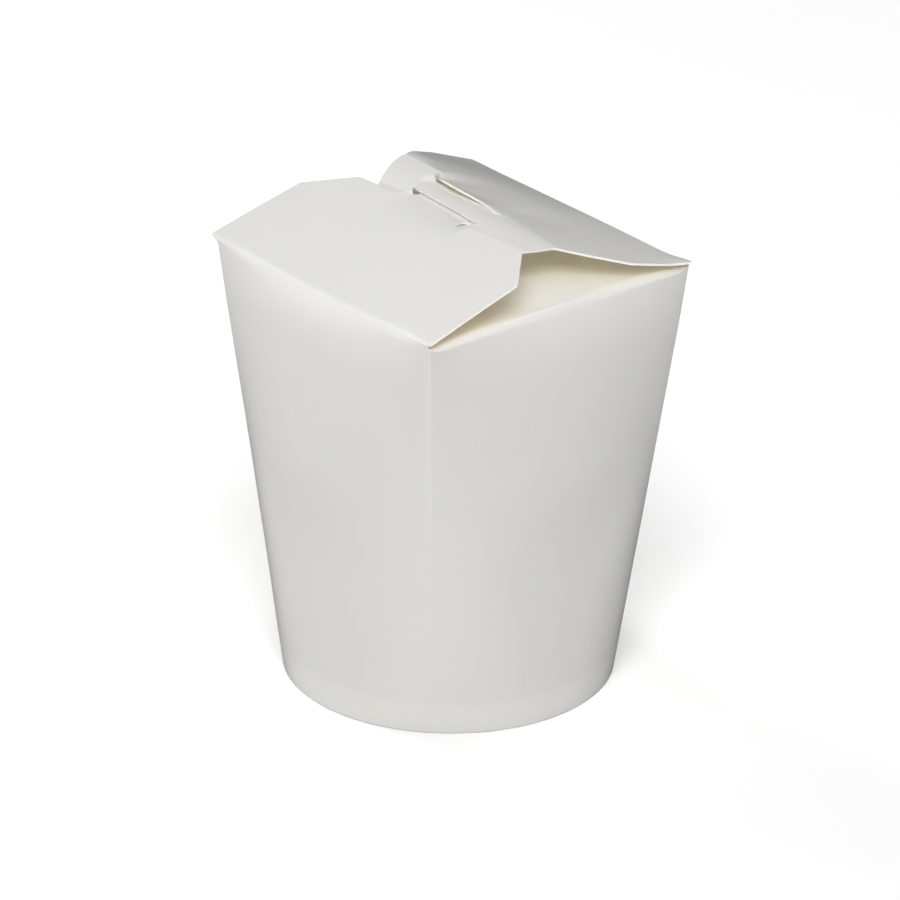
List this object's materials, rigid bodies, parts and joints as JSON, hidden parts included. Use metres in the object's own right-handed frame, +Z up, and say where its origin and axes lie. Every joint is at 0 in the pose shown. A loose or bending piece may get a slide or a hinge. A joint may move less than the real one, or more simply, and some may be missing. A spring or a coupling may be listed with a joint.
{
  "type": "noodle takeaway box",
  "caption": "Shut paperboard noodle takeaway box with a round foot, a square mouth, folded flaps and a tongue in a slit.",
  "frame": {"origin": "centre of the round foot, on the surface that the box stands on", "axes": "+Z up; X along the folds of the two main flaps; -Y towards the flap with the tongue"},
  "size_m": [0.0986, 0.0986, 0.1365],
  "materials": {
    "coated_board": "white paperboard with a thin satin coating",
    "base_board": "uncoated warm white paperboard"
  },
  "bodies": {
    "root": {"carton": "coated_board", "base_disc": "base_board"}
  },
  "joints": []
}
